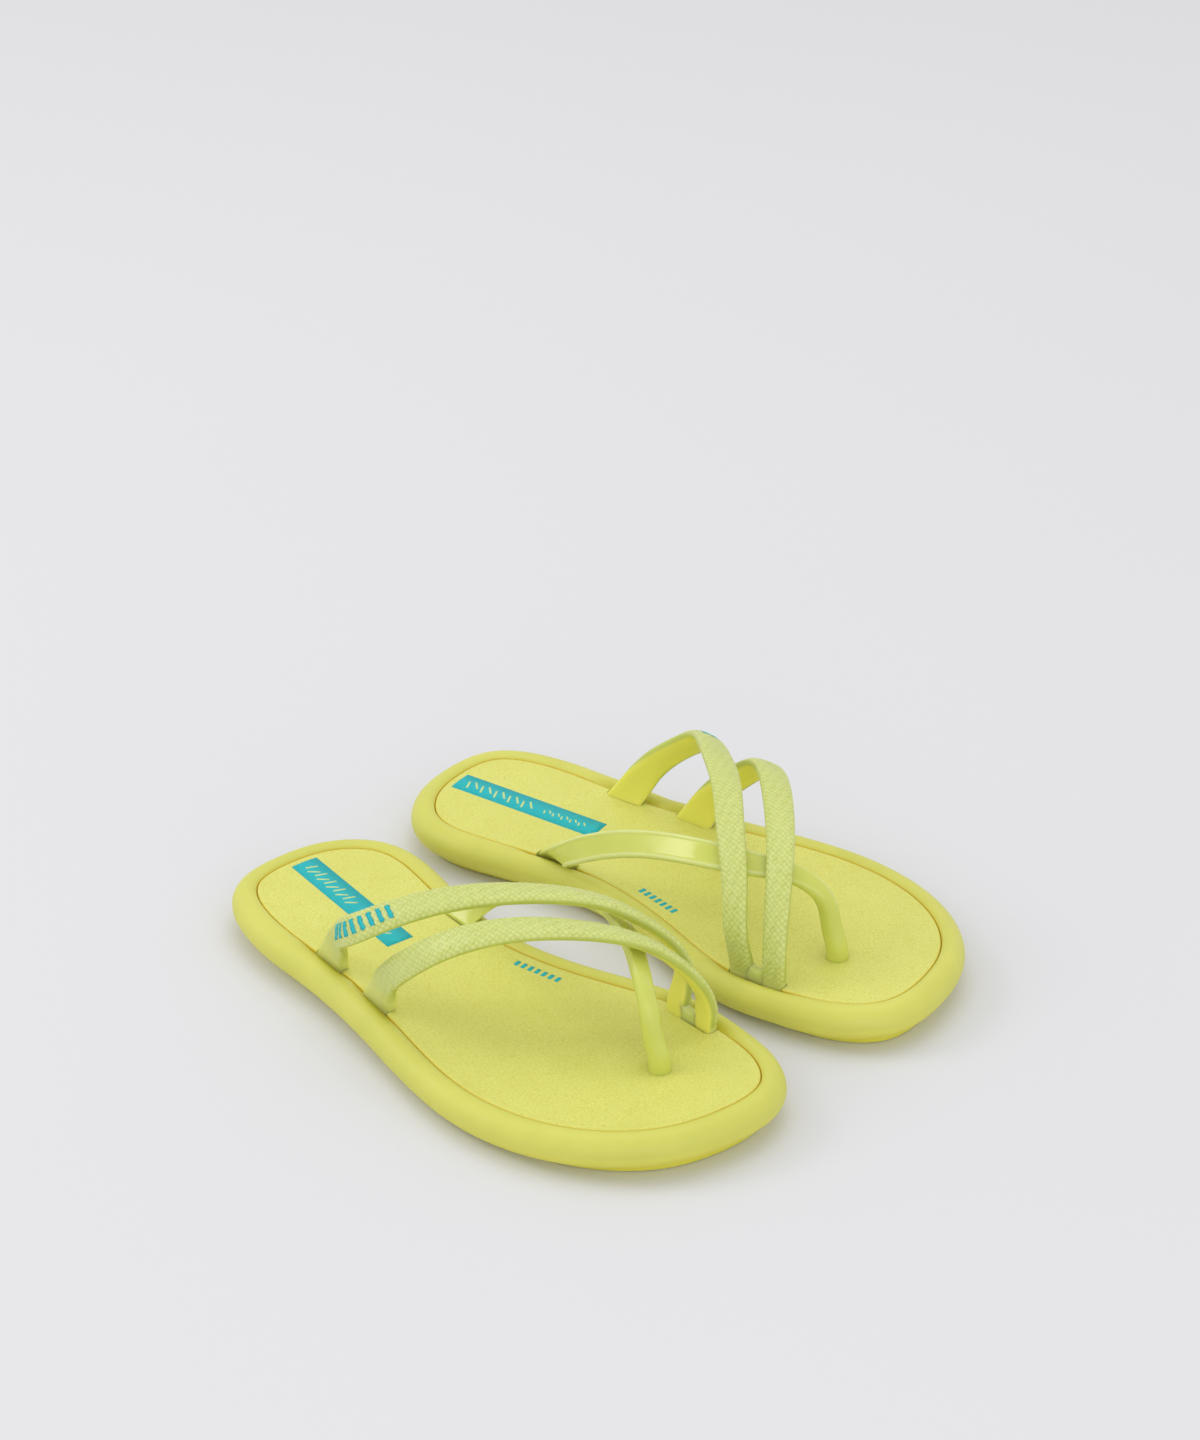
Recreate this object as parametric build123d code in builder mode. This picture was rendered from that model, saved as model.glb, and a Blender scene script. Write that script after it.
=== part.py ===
from build123d import *
import os

# A pair of moulded thong sandals, millimetres. Each piece is modelled once for the right foot in
# its own local frame (+X from heel to toe, +Y towards the other foot, +Z up, floor at Z = 0) and
# then set down twice, mirrored for the left foot.

# ---- pair layout ----
STANCE_HALF_GAP = 53.2      # from the middle plane to each sandal's local origin
TOE_OUT = 8.4               # degrees each sandal turns outwards
CENTRE_SHIFT = -1.0         # puts the pair's outline centre on the origin, along X

# ---- footbed outline (the seam), length 238 ----
SEAM_HALF_LENGTH = 119.0
SEAM_POINTS = [             # anticlockwise from the outer waist
    (-58, -40.5), (-18, -42.4), (20, -48), (48, -49.5), (78, -42.8), (102, -27.2), (114, -10.5),
    (119, 13.5), (114.5, 34.5), (102, 43.3), (80, 46.8), (52, 45.2), (20, 33), (-10, 22.5),
    (-43, 18.7), (-80, 22.3), (-106, 19.7), (-116.5, 6.5), (-119, -14), (-114, -31.5),
    (-95, -39.9),
]
WAIST_DIRECTION = (1, 0)    # of the seam at its first point
OUTLINE_STATIONS = 40       # points taken along the seam when it is grown
SEAM_HEIGHT = 14.0          # seam above the floor at mid length
SEAM_TILT = (-1.62, 3.38, 1.77)   # rise along the length: linear, square and cubic share

# ---- rim section, measured from the seam ----
RIM_WIDTH = 9.8
RIM_CREST = 1.2             # rim over the seam
RIM_DROP = 13.4             # seam down to the rim's underside
RIM_ROUND = 7.0             # radius of its top and bottom rounding
CORE_GROWTH = 2.0           # how far the flat base runs out under the rim

# ---- footbed panel ----
PANEL_THICKNESS = 4.0
PANEL_GAP = 0.2             # visible seam round the panel

# ---- tread ----
TREAD_GROOVE = (2.0, 1.2)   # width and depth
TREAD_PITCH = 9.0
TREAD_ROWS = 11             # grooves each side of mid length
TREAD_LENGTH = 34.0
TREAD_MIDDLE = 4.0          # sideways drift of the grooves along the curved sole

# ---- straps ----
STRAP_THICKNESS = 5.0
FOOT_GAP = 0.25             # play of a strap end in its slot
HEAD = (4.0, 3.0, 2.6)      # anchor head: extra length, extra width, height
HEAD_CLEARANCE = 0.6        # from the footbed's underside to an anchor head
HEAD_SHIFT = 1.2            # anchor heads of the edge slots sit this far inboard
SHANK_LENGTH = 5.6          # runs 1 mm into the head
POST_DIAMETER = 8.8

# Middle line of each strap. The first and last points are its ends in the footbed's slots,
# where the section lies level on the footbed.
REAR_LOOP = [
    (-52, -37.0), (-43.5, -39.4, 28.5), (-28, -39.5, 46.0), (-11, -33.5, 57.0), (8, -15.5, 64.2),
    (25, 6.9, 65.0), (38.5, 24.5, 59.0), (48.5, 37, 46.5), (54.5, 42.3, 30.0), (57, 42.6),
]
FRONT_LOOP = [
    (-19, -39.2), (-11, -41.2, 27.0), (1.4, -41.3, 42.0), (15, -34.8, 53.6), (30, -20, 61.2),
    (45, -0.5, 62.4), (56, 16.5, 57.6), (65, 32, 47.0), (70.5, 40.8, 30.0), (72, 42.6),
]
TOE_STRAP = [
    (-47.5, 15.6), (-40.5, 22.3, 25.8), (-25.5, 27.5, 35.2), (-8.5, 28, 42.4), (8, 27, 47.0),
    (25, 24.8, 50.0), (42, 22.3, 51.2), (58, 19, 49.8), (70.5, 15.8, 44.5), (77, 14.4, 35.5),
    (80, 14.1, 25.0), (82, 14),
]
# Width and thickness along a strap: (share of its length, size).
LOOP_WIDTH = [(0, 18.0), (0.09, 12.8), (0.5, 12.0), (0.85, 10.4), (1, 9.4)]
LOOP_THICKNESS = [(0, 5.0), (1, 5.0)]
TOE_WIDTH = [(0, 19.0), (0.09, 12.6), (0.2, 11.4), (0.66, 11.4), (0.77, 9.4), (0.84, 8.8), (1, 8.8)]
TOE_THICKNESS = [(0, 4.0), (0.1, 3.4), (0.62, 3.4), (0.72, 3.8), (0.79, 5.6), (0.86, 8.7), (1, 8.7)]
STRAP_STATIONS = 22         # sections along a strap
TOE_BEND_START = 62.0       # beyond this x the toe strap's flat side turns to face the toes
NO_BEND = 200.0             # the loops keep facing away from the foot's middle
WEB_HEIGHT = 3.0            # shared web of the two loops above the footbed
WEB_THICKNESS = 4.0

# ---- prints ----
LABEL = (71.0, 12.0)
LABEL_CENTRE = (-81.9, -9.4)
LABEL_TURN = -2.0
PRINT_DEPTH = 0.25
MARK_CENTRE = (2.2, 19.1)
MARK_TURN = 16.0
MARK_BAR = (1.7, 3.2)
MARK_BARS = 7
MARK_PITCH = 3.2


def seam_z(x):
    """Height of the seam and the footbed over the floor at x."""
    u = x / SEAM_HALF_LENGTH
    return SEAM_HEIGHT + SEAM_TILT[0] * u + SEAM_TILT[1] * u**2 + SEAM_TILT[2] * u**3


def on_footbed(point):
    """A strap point; one with no height of its own stands on the footbed."""
    return Vector(point[0], point[1], point[2] if len(point) == 3 else seam_z(point[0]))


def size_at(profile, share):
    """Size read off a (share, size) profile, in straight steps."""
    for (low, size_low), (high, size_high) in zip(profile, profile[1:]):
        if share <= high:
            return size_low + (size_high - size_low) * (share - low) / (high - low)
    return profile[-1][1]


def outward_of(here, bend_start):
    """Direction away from the foot; past bend_start it turns to face the toes."""
    past_arch = max(here.X - bend_start, 0)
    return Vector(past_arch, here.Y - past_arch * here.Y / 30, max(here.Z - SEAM_HEIGHT, 0))


with BuildLine() as seam_line:
    seam = Spline(*SEAM_POINTS, SEAM_POINTS[0], tangents=(WAIST_DIRECTION, WAIST_DIRECTION))


def slab(top, bottom):
    """Closed side profile, used to shape a piece between two offsets from the seam height."""
    reach = SEAM_HALF_LENGTH + 20
    stations = [-reach + i * reach / 6 for i in range(13)]
    with BuildPart() as side:
        with BuildSketch(Plane.XZ.offset(-80)):
            with BuildLine():
                upper = Spline(*[(x, seam_z(x) + top) for x in stations])
                lower = Spline(*[(x, seam_z(x) + bottom) for x in stations])
                Line(upper @ 0, lower @ 0)
                Line(upper @ 1, lower @ 1)
            make_face()
        extrude(amount=160)
    return side.part


def grown_outline(growth):
    """Points of the seam outline moved outwards by growth, square to the seam."""
    points = []
    for i in range(OUTLINE_STATIONS):
        here = seam @ (i / OUTLINE_STATIONS)
        along = seam % (i / OUTLINE_STATIONS)
        points.append((here.X + growth * along.Y, here.Y - growth * along.X))
    return points


def outline_prism(growth, height):
    """The grown seam outline raised from the floor."""
    with BuildPart() as prism:
        with BuildSketch():
            with BuildLine():
                outline = grown_outline(growth)
                Spline(*outline, outline[0], tangents=(WAIST_DIRECTION, WAIST_DIRECTION))
            make_face()
        extrude(amount=height)
    return prism.part


def shaped_prism(growth, top, bottom):
    """The grown outline between two surfaces that follow the seam height."""
    with BuildPart() as shape:
        add(outline_prism(growth, 40))
        add(slab(top, bottom), mode=Mode.INTERSECT)
    return shape.part


def end_prism(x, y, length, width, low, high):
    """Upright block with round ends for a strap end, its slot or its pocket."""
    with BuildPart() as block:
        with BuildSketch(Plane.XY.offset(low)):
            with Locations((x, y)):
                if length > width:
                    SlotOverall(length, width)
                else:
                    Circle(length / 2)
        extrude(amount=high - low)
    return block.part


# Each strap end: x, y, length and width of its shank.
TOE_HOLE = (TOE_STRAP[-1][0], TOE_STRAP[-1][1], POST_DIAMETER, POST_DIAMETER)
TWIN_ENDS = [
    (REAR_LOOP[0][0], REAR_LOOP[0][1], 18.0, STRAP_THICKNESS),
    (FRONT_LOOP[0][0], FRONT_LOOP[0][1], 18.0, STRAP_THICKNESS),
    (64.5, 42.6, 24.6, STRAP_THICKNESS),
]
TOE_ENDS = [(TOE_STRAP[0][0], TOE_STRAP[0][1], 19.0, 4.0), TOE_HOLE]


def inward_shift(end):
    """Sideways shift of an anchor head; the toe post's head is central."""
    _, y, length, width = end
    if length == width:
        return 0
    return -HEAD_SHIFT if y > 0 else HEAD_SHIFT


def head_top(end):
    return seam_z(end[0]) - PANEL_THICKNESS - HEAD_CLEARANCE


def anchor_head(end):
    x, y, length, width = end
    top = head_top(end)
    return end_prism(x, y + inward_shift(end), length + HEAD[0], width + HEAD[1],
                     top - HEAD[2], top)


def anchor_pocket(end):
    x, y, length, width = end
    low = head_top(end) - HEAD[2] - FOOT_GAP
    return end_prism(x, y + inward_shift(end), length + HEAD[0] + 2 * FOOT_GAP,
                     width + HEAD[1] + 2 * FOOT_GAP, low, seam_z(x))


def edge_slot(end):
    """Slot through the footbed, open towards the seam unless it is the round toe hole."""
    x, y, length, width = end
    with BuildPart() as slot:
        with BuildSketch(Plane.XY.offset(2)):
            with Locations((x, y)):
                if length == width:
                    Circle(length / 2 + FOOT_GAP)
                else:
                    SlotOverall(length + 2 * FOOT_GAP, width + 2 * FOOT_GAP)
            if length != width:
                outer = 1 if y > 0 else -1
                with Locations((x, y + outer * 4)):
                    Rectangle(length - width, 8)
        extrude(amount=30)
    return slot.part


def strap_band(path, width, thickness, bend_start):
    """Elliptical band along the path, with a shank down to the anchor at each end."""
    with BuildLine() as middle:
        line = Spline(*[on_footbed(point) for point in path], tangents=((0, 0, 1), (0, 0, -1)))
    sections = []
    for i in range(STRAP_STATIONS + 1):
        share = i / STRAP_STATIONS
        here = line.position_at(share * line.length, PositionMode.LENGTH)
        along = line.tangent_at(share * line.length, PositionMode.LENGTH)
        across = along.cross(outward_of(here, bend_start))
        plane = Plane(origin=here, x_dir=across, z_dir=along)
        sections.append((plane, size_at(width, share) / 2, size_at(thickness, share) / 2))
    with BuildPart() as band:
        for plane, half_width, half_thickness in sections:
            with BuildSketch(plane):
                Ellipse(half_width, half_thickness)
        loft(ruled=True)
        for (plane, half_width, half_thickness), way in ((sections[0], -1), (sections[-1], 1)):
            with BuildSketch(plane):
                Ellipse(half_width, half_thickness)
            extrude(amount=way * SHANK_LENGTH)
    return band.part


# ---- sole: cushion with a rounded rim on a flat, grooved base ----
with BuildPart() as sole:
    add(shaped_prism(RIM_WIDTH, RIM_CREST, -RIM_DROP))
    rim_edges = sole.edges().filter_by(lambda edge: edge.length > SEAM_HALF_LENGTH)
    fillet(rim_edges, radius=RIM_ROUND)
    add(outline_prism(CORE_GROWTH, SEAM_HEIGHT - PANEL_THICKNESS))
    add(shaped_prism(0, 20, -PANEL_THICKNESS), mode=Mode.SUBTRACT)
    for end in TWIN_ENDS + TOE_ENDS:
        add(anchor_pocket(end), mode=Mode.SUBTRACT)
    groove_width, groove_depth = TREAD_GROOVE
    with BuildSketch(Plane.XY):
        for row in range(-TREAD_ROWS, TREAD_ROWS + 1):
            x = row * TREAD_PITCH
            with Locations((x, TREAD_MIDDLE * (x / SEAM_HALF_LENGTH - 0.3))):
                SlotOverall(TREAD_LENGTH, groove_width, rotation=90)
    extrude(amount=groove_depth, mode=Mode.SUBTRACT)

# ---- heel label: thin rectangle let into the footbed ----
with BuildPart() as heel_label:
    with BuildSketch():
        with Locations(Location((*LABEL_CENTRE, 0), (0, 0, LABEL_TURN))):
            Rectangle(*LABEL)
    extrude(amount=40)
    add(shaped_prism(-PANEL_GAP, 0.05, -PRINT_DEPTH), mode=Mode.INTERSECT)

# ---- footbed mark: a row of plain bars let into the footbed ----
with BuildPart() as footbed_mark:
    with BuildSketch():
        with Locations(Location((*MARK_CENTRE, 0), (0, 0, MARK_TURN))):
            with GridLocations(MARK_PITCH, 1, MARK_BARS, 1):
                Rectangle(*MARK_BAR)
    extrude(amount=40)
    add(slab(0.05, -PRINT_DEPTH), mode=Mode.INTERSECT)

# ---- footbed: panel laid into the recess ----
with BuildPart() as footbed:
    add(shaped_prism(-PANEL_GAP, 0, -PANEL_THICKNESS))
    for end in TWIN_ENDS + TOE_ENDS:
        add(edge_slot(end), mode=Mode.SUBTRACT)
    add([heel_label.part, footbed_mark.part], mode=Mode.SUBTRACT)

# ---- twin strap: two loops on one moulding, joined by a low web at the inner front ----
with BuildPart() as twin_strap:
    add(strap_band(REAR_LOOP, LOOP_WIDTH, LOOP_THICKNESS, NO_BEND))
    add(strap_band(FRONT_LOOP, LOOP_WIDTH, LOOP_THICKNESS, NO_BEND))
    for end in TWIN_ENDS:
        add(anchor_head(end))
    x, y, length, width = TWIN_ENDS[-1]
    add(end_prism(x, y, length - 2, WEB_THICKNESS, head_top(TWIN_ENDS[-1]) - 1,
                  seam_z(x) + WEB_HEIGHT))

# ---- toe strap: flat band that turns into the round toe post ----
with BuildPart() as toe_strap:
    add(strap_band(TOE_STRAP, TOE_WIDTH, TOE_THICKNESS, TOE_BEND_START))
    for end in TOE_ENDS:
        add(anchor_head(end))

# ---- the pair: the right foot as modelled, the left foot mirrored ----
right_place = Location((CENTRE_SHIFT, -STANCE_HALF_GAP, 0), (0, 0, -TOE_OUT))
left_place = Location((CENTRE_SHIFT, STANCE_HALF_GAP, 0), (0, 0, TOE_OUT))
os.makedirs("parts", exist_ok=True)
for builder, name in (
    (sole, "sole"), (footbed, "footbed"), (heel_label, "heel_label"),
    (footbed_mark, "footbed_mark"), (twin_strap, "twin_strap"), (toe_strap, "toe_strap"),
):
    right = right_place * builder.part
    left = left_place * mirror(builder.part, about=Plane.XZ)
    for side, piece in (("right", right), ("left", left)):
        piece.label = f"{side}_{name}"
        export_step(piece, f"parts/{piece.label}.step")
        print(piece.label, piece.is_valid, len(piece.solids()), round(piece.volume), piece.bounding_box())
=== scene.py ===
import math

import bmesh
import bpy
import numpy as np
from mathutils import Matrix, Vector


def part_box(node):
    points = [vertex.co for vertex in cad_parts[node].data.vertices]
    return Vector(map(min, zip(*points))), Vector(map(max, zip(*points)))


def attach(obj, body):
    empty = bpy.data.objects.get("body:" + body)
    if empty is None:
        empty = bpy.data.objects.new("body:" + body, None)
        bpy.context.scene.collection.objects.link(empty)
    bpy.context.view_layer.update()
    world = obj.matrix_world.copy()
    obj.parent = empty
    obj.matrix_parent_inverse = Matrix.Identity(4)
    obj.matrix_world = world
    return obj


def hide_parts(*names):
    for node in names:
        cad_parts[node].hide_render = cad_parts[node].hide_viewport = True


# Looks of a pair of moulded thong sandals. Each piece is worked out once for the right foot, in
# millimetres in its own frame (+X heel to toe, +Y towards the other foot, +Z up, floor at Z = 0),
# and then set on both CAD sandals, mirrored for the left foot.

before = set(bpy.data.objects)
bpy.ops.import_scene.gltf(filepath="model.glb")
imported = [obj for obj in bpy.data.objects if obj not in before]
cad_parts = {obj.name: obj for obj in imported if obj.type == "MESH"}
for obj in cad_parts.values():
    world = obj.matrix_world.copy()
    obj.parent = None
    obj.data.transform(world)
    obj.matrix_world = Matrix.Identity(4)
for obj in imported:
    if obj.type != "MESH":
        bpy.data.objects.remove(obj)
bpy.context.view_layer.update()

# ---- the design's own dimensions, in mm and degrees ----
MM = 0.001
TOE_OUT = 8.4                # how far each sandal is turned out
SEAM_HALF_LENGTH = 119.0
SEAM_HEIGHT = 14.0
SEAM_TILT = (-1.62, 3.38, 1.77)           # terms in x, x squared and x cubed
RECESS_DEPTH = 4.0
# Paths are (x, y, z); a point without z lies on the footbed.
SEAM_POINTS = [
    (-58, -40.5), (-18, -42.4), (20, -48), (48, -49.5), (78, -42.8), (102, -27.2), (114, -10.5),
    (119, 13.5), (114.5, 34.5), (102, 43.3), (80, 46.8), (52, 45.2), (20, 33), (-10, 22.5),
    (-43, 18.7), (-80, 22.3), (-106, 19.7), (-116.5, 6.5), (-119, -14), (-114, -31.5),
    (-95, -39.9),
]
REAR_LOOP = [
    (-52.2, -38.5), (-39.4, -42.9, 34.5), (-25.1, -47.8, 46.2), (-12, -38.2, 55.6),
    (3.9, -19.4, 63.2), (22.4, 2.1, 65.8), (38, 23.3, 60.7), (50.1, 39, 48.2), (56.2, 46.9, 31.4),
    (57, 43.3),
]
FRONT_LOOP = [
    (-19, -40.3), (-11.5, -41.8, 27.7), (1.3, -41.4, 41.6), (16.1, -34.4, 54.5),
    (31.5, -18.2, 62.1), (47.2, 2.7, 61.9), (60.2, 22.7, 55), (68.3, 37.7, 40.5),
    (72.1, 44.7, 24.5), (72, 44.3),
]
TOE_STRAP = [
    (-47.5, 17), (-43, 23.6, 21), (-31.7, 26.3, 29.3), (-14.2, 27, 38.4), (8.7, 29.2, 46.9),
    (32.5, 29.9, 51.4), (51.8, 24.6, 50.6), (66.8, 17.3, 46.3), (75.6, 13.7, 37.4),
    (78.9, 13.5, 26), (82, 14),
]
# Width and thickness along a strap: (share of its length, size).
LOOP_WIDTH = [(0, 17.2), (0.04, 14.4), (0.09, 12.4), (0.5, 12.0), (0.85, 10.4), (1, 9.4)]
LOOP_THICKNESS = 5.0
LOOP_SECTION = 2.35          # power of the rounded section; 2 is an ellipse
TOE_WIDTH = [(0, 19.0), (0.09, 12.6), (0.2, 11.4), (0.62, 11.0), (0.73, 8.2), (0.84, 7.8), (1, 8.8)]
TOE_THICKNESS = [(0, 4.0), (0.1, 3.4), (0.62, 3.4), (0.72, 3.8), (0.79, 5.0), (0.86, 7.4), (1, 8.7)]
TOE_BEND_START = 62.0        # x from which the toe strap turns down into the post
NO_BEND = 200.0              # beyond the toe, for the straps that don't turn down
# Each strap end in the footbed: x, y, length, width.
SLOTS = [
    (-52.2, -38.5, 17.2, 5.0), (-19, -40.3, 17.2, 5.0), (64.5, 43.8, 24.6, 5.0),
    (-47.5, 17, 19.0, 4.0),
]
SLOT_GAP = 0.5
SLOT_TO_SEAM = 5.0           # how far the cut for a slot is carried out through the seam
POST_HOLE = (82.0, 14.0, 8.8)
HOLE_GAP = 0.9
CUT_HEIGHTS = (5, 30)        # from where to where slots and hole are cut
DIMPLE_DEPTH = 1.4           # dip of the footbed round the post
DIMPLE_REACH = 8.0
SHANK = 3.0                  # how far a strap's shown end runs down into its slot
LOOP_REACH = 9.0             # how soon a strap's section turns square to it
TOE_REACH = 20.0
DISH_DEPTH = 0.55            # how deep the toe strap's face lies between its edges
SCALE_WIDTH = 1.15
SCALE_LENGTH = 2.5
SCALE_HEIGHT = 0.4
SCALE_MEAN = 0.45            # share of a scale's height that lies at the strap's surface
WEB_CENTRE = (64.5, 43.9)
WEB_HALF_LENGTH = 4.3
WEB_HALF_THICKNESS = 2.1
WEB_SLOPE = 0.067            # of the web's line in plan, which follows the seam
WEB_TOP = 4.0                # over the footbed, in the middle
WEB_RISE = 2.2               # how much higher it is at the loops
# Rim width along the inner and the outer side of the foot: (x, width).
INNER_RIM = [(-119, 9.8), (-80, 10.3), (-20, 8.8), (10, 9.2), (60, 10.1), (100, 9.5), (119, 9.3)]
OUTER_RIM = [(-119, 9.8), (-80, 10.9), (-20, 10.8), (30, 9.8), (80, 9.6), (119, 9.3)]
NOMINAL_RIM = 9.8            # width that the rim's section is drawn for
LABEL = (71.0, 12.0)
LABEL_CENTRE = (-81.9, -9.4)
LABEL_TURN = -2.0
MARK_CENTRE = (2.2, 19.1)
MARK_TURN = 16.0
MARK_BAR = (1.7, 3.2)
MARK_BARS = 7
MARK_PITCH = 3.2
MOTIF_START = 30.0           # along the rear loop, from its rear foot
MOTIF_PITCH = 3.9
MOTIF_BARS = 9
MOTIF_BAR = 1.8
MOTIF_SLANT = 1.6
MOTIF_LIFT = 0.34
MOTIF_DEPTH = 0.3
# Strokes on the label: start from its middle, pitch, count, width, height.
INK_TALL = (-29.0, 3.4, 10, 0.9, 5.2)
INK_SMALL = (9.0, 2.1, 10, 0.7, 2.4)
PRINT_LIFT = 0.06
PRINT_DEPTH = 0.25
INK_LIFT = 0.1
TREAD_PITCH = 9.0
TREAD_ROWS = 11              # grooves on each side of the middle one
GROOVE = (2.0, 34.0, 1.2)    # length, width, depth

# ---- how finely the meshes are drawn ----
SEAM_STATIONS = 320
PRISM_SIDES = 24
STRAP_SIDES = 64
LOOP_STEP = 0.45
TOE_STEP = 0.7
MOTIF_STEP = 0.25
WEB_ROWS = 40


# ---- curves ----
def smooth_curve(points, closed, ends=None, per_span=40):
    """Dense points on the cubic spline through the points; ends are its end directions."""
    p = np.array(points, float)
    if closed:
        p = np.vstack([p, p[:1]])
    n = len(p)
    h = np.linalg.norm(np.diff(p, axis=0), axis=1)
    slope = np.diff(p, axis=0) / h[:, None]
    matrix = np.zeros((n, n))
    right = np.zeros_like(p)
    for i in range(1, n - 1):
        matrix[i, i - 1:i + 2] = h[i], 2 * (h[i - 1] + h[i]), h[i - 1]
        right[i] = 3 * (h[i - 1] * slope[i] + h[i] * slope[i - 1])
    if closed:
        matrix[0, 0], matrix[0, 1], matrix[0, n - 2] = 2 * (h[-1] + h[0]), h[-1], h[0]
        right[0] = 3 * (h[-1] * slope[0] + h[0] * slope[-1])
        matrix[-1, 0], matrix[-1, -1] = 1, -1
    else:
        matrix[0, 0] = matrix[-1, -1] = 1
        right[0], right[-1] = ends
    d = np.linalg.solve(matrix, right)
    t = np.linspace(0, 1, per_span, endpoint=False)[:, None]
    spans = [
        (1 + 2 * t) * (1 - t) ** 2 * p[i] + t * (1 - t) ** 2 * h[i] * d[i]
        + t ** 2 * (3 - 2 * t) * p[i + 1] + t ** 2 * (t - 1) * h[i] * d[i + 1]
        for i in range(n - 1)
    ]
    return np.vstack(spans + [p[-1:]])


def evenly(dense, count, closed=False):
    """count points evenly spaced along a dense polyline."""
    reach = np.concatenate([[0], np.cumsum(np.linalg.norm(np.diff(dense, axis=0), axis=1))])
    at = np.linspace(0, reach[-1], count, endpoint=not closed)
    return np.column_stack([np.interp(at, reach, dense[:, k]) for k in range(dense.shape[1])])


def seam_z(x):
    """Height of the seam over the floor at x."""
    u = np.asarray(x, float) / SEAM_HALF_LENGTH
    return SEAM_HEIGHT + SEAM_TILT[0] * u + SEAM_TILT[1] * u**2 + SEAM_TILT[2] * u**3


def profile_at(profile, share):
    """Size at a share of the length, from a list of (share, size)."""
    return np.interp(share, [p[0] for p in profile], [p[1] for p in profile])


def smoothstep(low, high, x):
    """0 below low, 1 above high and a smooth rise between."""
    t = np.clip((np.asarray(x, float) - low) / (high - low), 0, 1)
    return t * t * (3 - 2 * t)


seam = evenly(smooth_curve(SEAM_POINTS, True), SEAM_STATIONS, closed=True)
seam_tangent = np.roll(seam, -1, 0) - np.roll(seam, 1, 0)
seam_tangent /= np.linalg.norm(seam_tangent, axis=1)[:, None]
seam_out = np.column_stack([seam_tangent[:, 1], -seam_tangent[:, 0]])
inner_side = seam_out[:, 1] > 0


def seam_y(side, x):
    """The y of the seam at x, along the stations of one side."""
    stations = seam[side]
    order = np.argsort(stations[:, 0])
    return np.interp(x, stations[order, 0], stations[order, 1])


# Middle line of the foot under each seam station, where the rings of a surface meet.
spine_x = np.clip(seam[:, 0] * 0.72, -80, 80)
spine = np.column_stack([spine_x, (seam_y(inner_side, spine_x) + seam_y(~inner_side, spine_x)) / 2])


# ---- placing on the CAD sandals ----
def stance(side):
    """Matrix from the local frame, in metres, to one sandal, without its origin."""
    way = -1 if side == "left" else 1
    return Matrix.Rotation(math.radians(-TOE_OUT * way), 4, "Z") @ Matrix.Diagonal((1, way, 1, 1))


def origin_of(side):
    """Where the local frame's origin lies, found from the CAD footbed's box."""
    turn = stance(side)
    outline = np.array([turn @ Vector((x * MM, y * MM, 0)) for x, y in seam])
    low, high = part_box(f"{side}_footbed")
    middle = (outline.min(0) + outline.max(0)) / 2
    return Vector(((low.x + high.x) / 2 - middle[0], (low.y + high.y) / 2 - middle[1], 0))


def make_piece(name, verts, faces, values=None):
    """A mesh object from local points in mm; values are named numbers kept on its points."""
    mesh = bpy.data.meshes.new(name)
    mesh.from_pydata((np.array(verts, float) * MM).tolist(), [], faces)
    for key, value in (values or {}).items():
        mesh.attributes.new(key, "FLOAT", "POINT").data.foreach_set(
            "value", np.asarray(value, np.float32))
    mesh.polygons.foreach_set("use_smooth", [True] * len(mesh.polygons))
    mesh.update()
    obj = bpy.data.objects.new(name, mesh)
    bpy.context.scene.collection.objects.link(obj)
    return obj


def set_down(model, side):
    """A copy of a local piece on one of the sandals."""
    obj = model.copy()
    obj.data = model.data.copy()
    obj.name = f"{side}_{model.name}"
    bpy.context.scene.collection.objects.link(obj)
    obj.data.transform(Matrix.Translation(origin_of(side)) @ stance(side))
    if side == "left":
        obj.data.flip_normals()
    return obj


def ring_faces(rings, count, first=0):
    """Quads between closed rings of count points each, numbered from first."""
    faces = []
    for r in range(rings - 1):
        for i in range(count):
            a = first + r * count + i
            b = first + r * count + (i + 1) % count
            faces.append([a, b, b + count, a + count])
    return faces


def band_faces(rings, count, first=0):
    """The same, with both ends shut."""
    faces = ring_faces(rings, count, first)
    last = first + (rings - 1) * count
    faces.append([first + k for k in range(count - 1, -1, -1)])
    faces.append([last + k for k in range(count)])
    return faces


def close_up(obj, ring=0):
    """Fills a mesh's open end loops, the first one of ring points, and turns its faces outwards."""
    bm = bmesh.new()
    bm.from_mesh(obj.data)
    open_edges = [edge for edge in bm.edges if edge.is_boundary]
    for first in (True, False):
        edges = [edge for edge in open_edges if (edge.verts[0].index < ring) == first]
        if edges:
            made = bmesh.ops.triangle_fill(bm, edges=edges, use_beauty=True)["geom"]
            for item in made:
                if isinstance(item, bmesh.types.BMFace):
                    item.smooth = True
    bmesh.ops.recalc_face_normals(bm, faces=bm.faces)
    bm.to_mesh(obj.data)
    bm.free()


def cut_with(obj, cutter):
    """Takes the cutter away from obj."""
    modifier = obj.modifiers.new("cut", "BOOLEAN")
    modifier.operation = "DIFFERENCE"
    modifier.solver = "EXACT"
    modifier.object = cutter
    bpy.context.view_layer.update()
    graph = bpy.context.evaluated_depsgraph_get()
    mesh = bpy.data.meshes.new_from_object(obj.evaluated_get(graph))
    obj.modifiers.clear()
    obj.data = mesh
    bpy.data.objects.remove(cutter)
    mesh.set_sharp_from_angle(angle=math.radians(38))


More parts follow.
